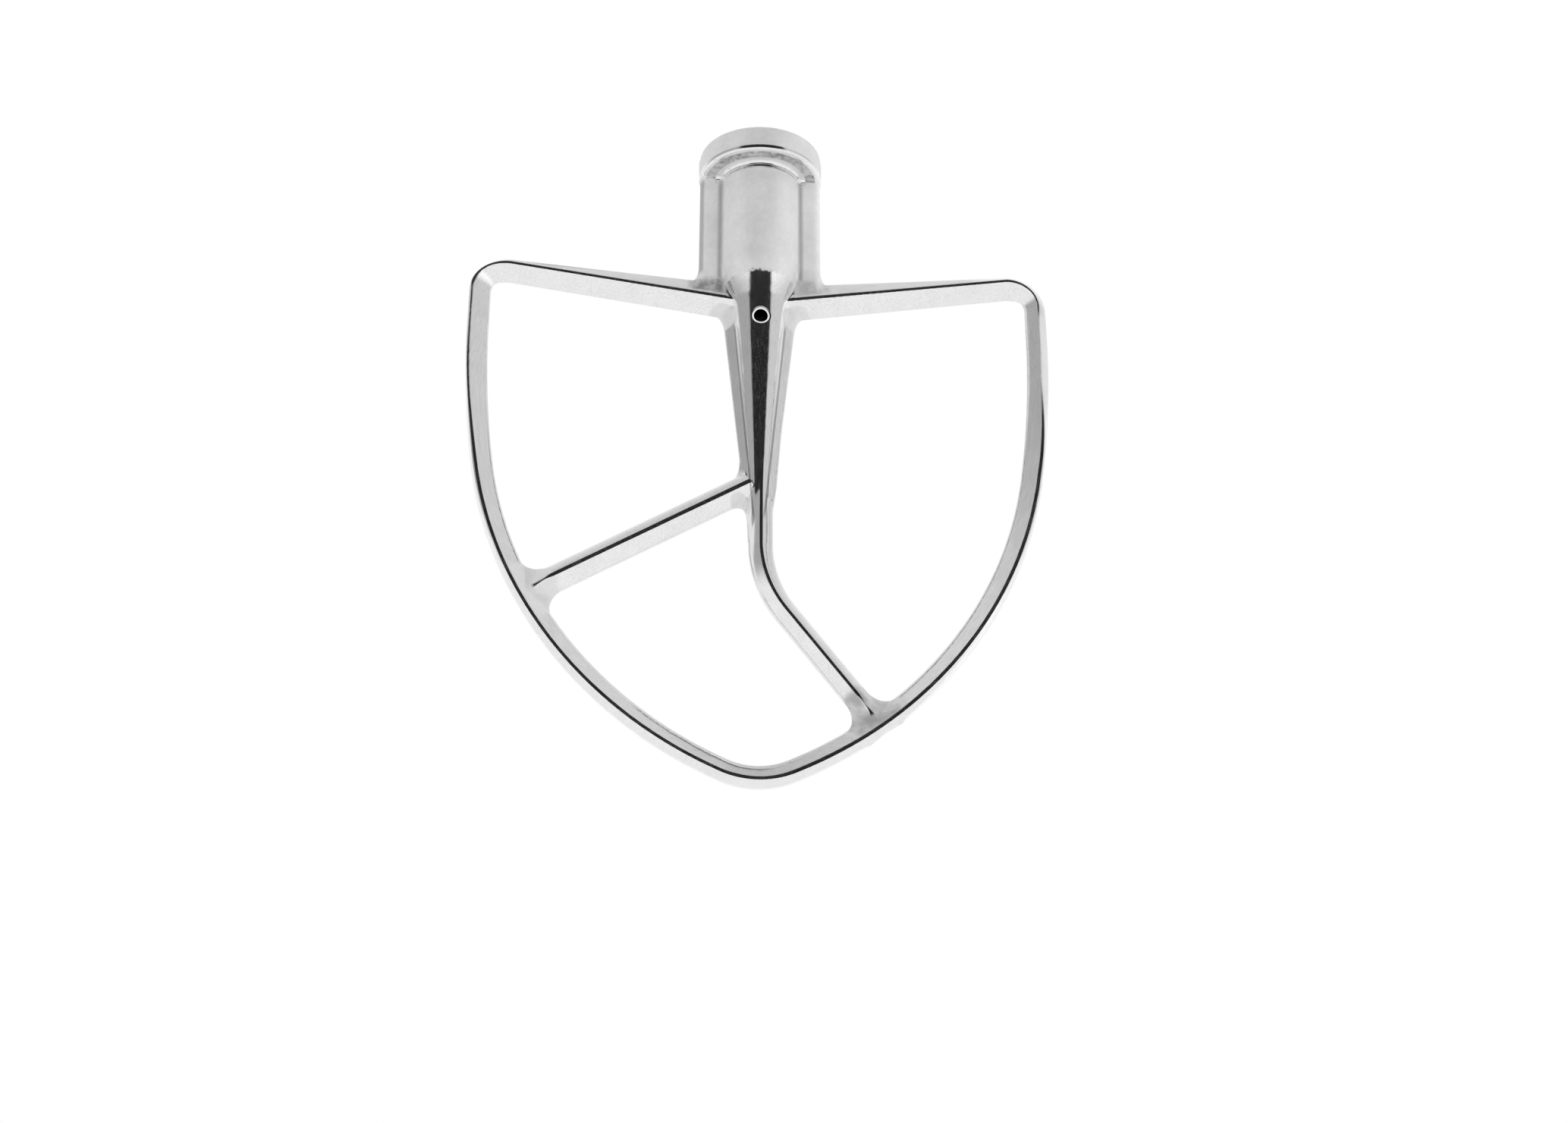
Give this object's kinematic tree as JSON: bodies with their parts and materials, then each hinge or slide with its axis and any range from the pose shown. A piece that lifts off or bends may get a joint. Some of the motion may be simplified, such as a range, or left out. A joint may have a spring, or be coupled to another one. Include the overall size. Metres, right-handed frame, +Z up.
{
  "type": "mixer flat beater",
  "caption": "Shield-shaped open mixing beater in polished cast stainless steel, with a collared socket for a drive shaft and two inner struts.",
  "frame": {"origin": "centre of the bore's mouth, on the top face of the collar", "axes": "+Z up along the bore, out of its mouth; +X across the blade loop, towards the side the bent strut runs to; -Y is the front, the side with the drain hole"},
  "size_m": [0.1476, 0.0316, 0.1754],
  "materials": {
    "polished_steel": "mirror-polished cast stainless steel",
    "satin_steel": "fine satin, turned stainless steel",
    "cast_steel": "bead-blasted cast stainless steel, slightly rough"
  },
  "bodies": {
    "root": {"hub_collar": "satin_steel", "hub_barrel": "satin_steel", "hub_web_left": "cast_steel", "hub_web_right": "cast_steel", "hub_shoulder": "satin_steel", "spindle": "polished_steel", "spindle_fin_left": "polished_steel", "spindle_fin_right": "polished_steel", "arm_left": "polished_steel", "arm_right": "polished_steel", "corner_left": "polished_steel", "corner_right": "polished_steel", "blade_upper_left": "polished_steel", "blade_upper_right": "polished_steel", "blade_lower_left": "polished_steel", "blade_lower_right": "polished_steel", "blade_tip": "polished_steel", "cross_strut": "polished_steel", "lower_strut_bend": "polished_steel", "lower_strut_leg": "polished_steel"}
  },
  "joints": []
}
